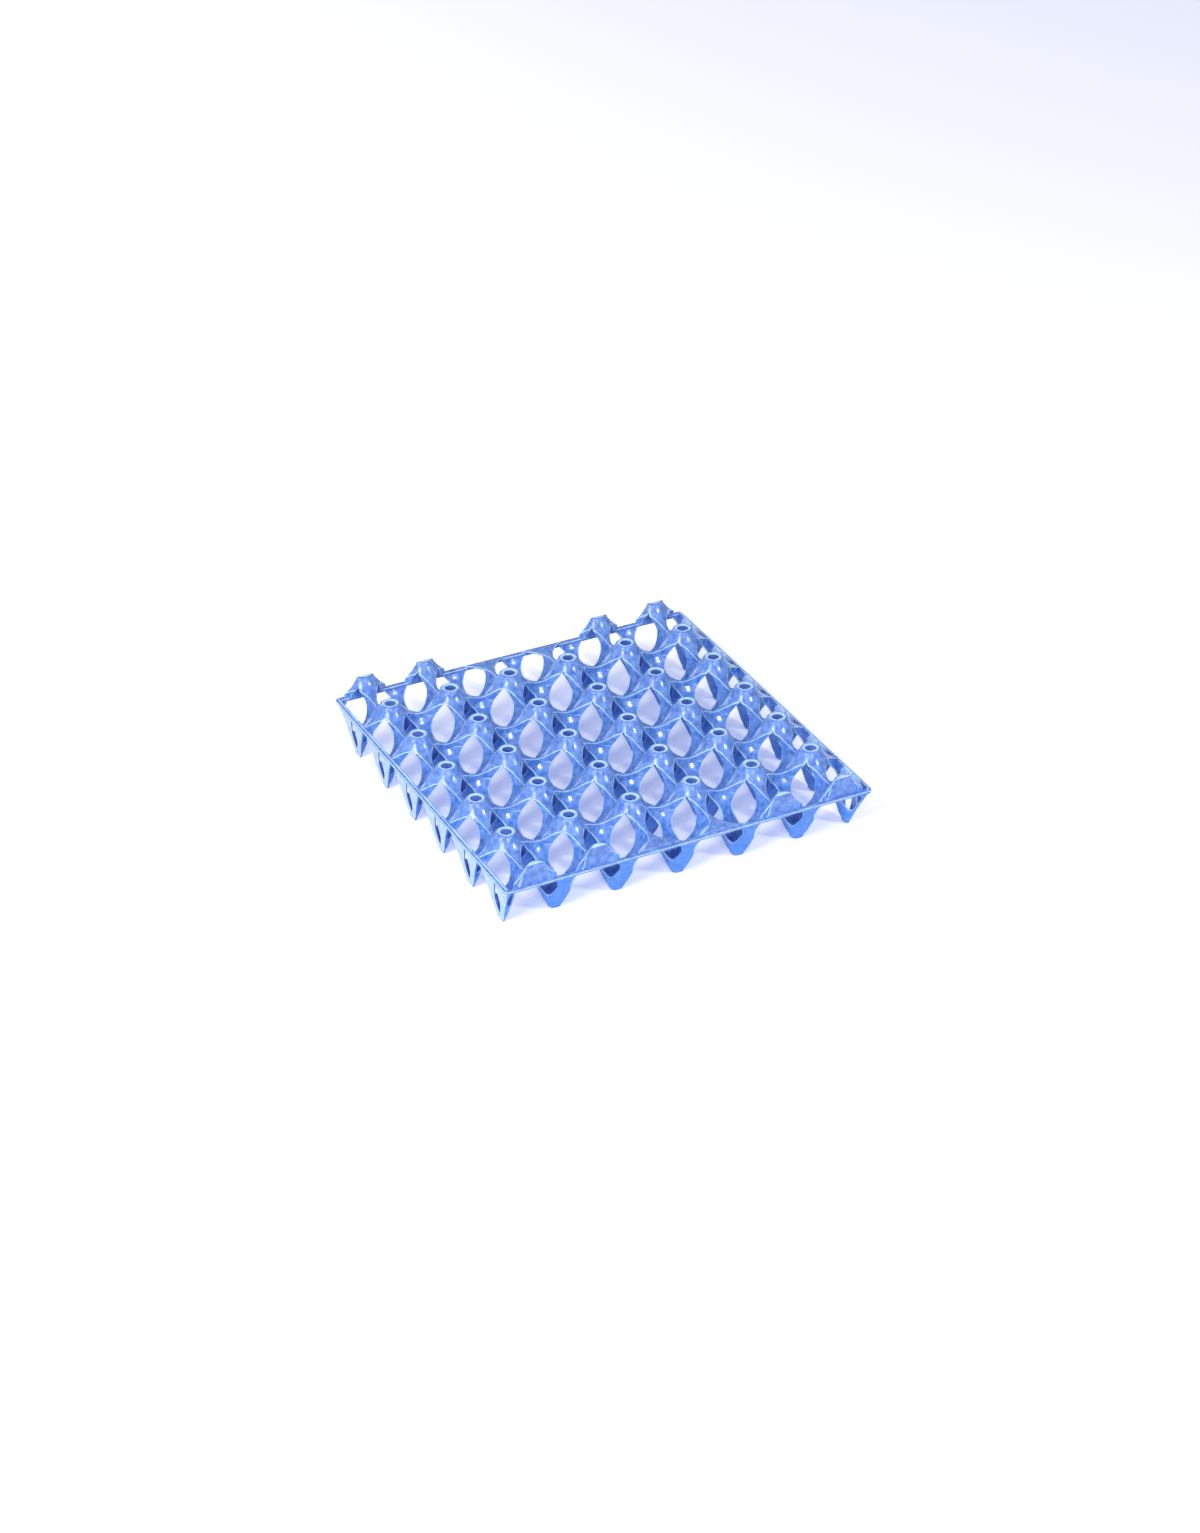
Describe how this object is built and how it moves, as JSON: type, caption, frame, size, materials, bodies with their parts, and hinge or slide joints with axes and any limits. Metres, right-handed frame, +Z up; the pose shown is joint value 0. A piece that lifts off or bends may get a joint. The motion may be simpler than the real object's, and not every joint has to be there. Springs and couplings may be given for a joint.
{
  "type": "egg tray",
  "caption": "Moulded plastic egg tray: a square lattice of tapering cups between hollow ring-topped posts, inside a flat rim.",
  "frame": {"origin": "centre of the tray's footprint, on the surface it stands on", "axes": "+Z up, out of the open cups; +X along a row of five cups and +Y along a row of six, with the front rim at -Y; two posts are lowered in the front rim and two in the back rim"},
  "size_m": [0.3, 0.3, 0.0553],
  "materials": {
    "plastic": "semi-gloss injection-moulded polypropylene"
  },
  "bodies": {
    "root": {"tray": "plastic"}
  },
  "joints": []
}
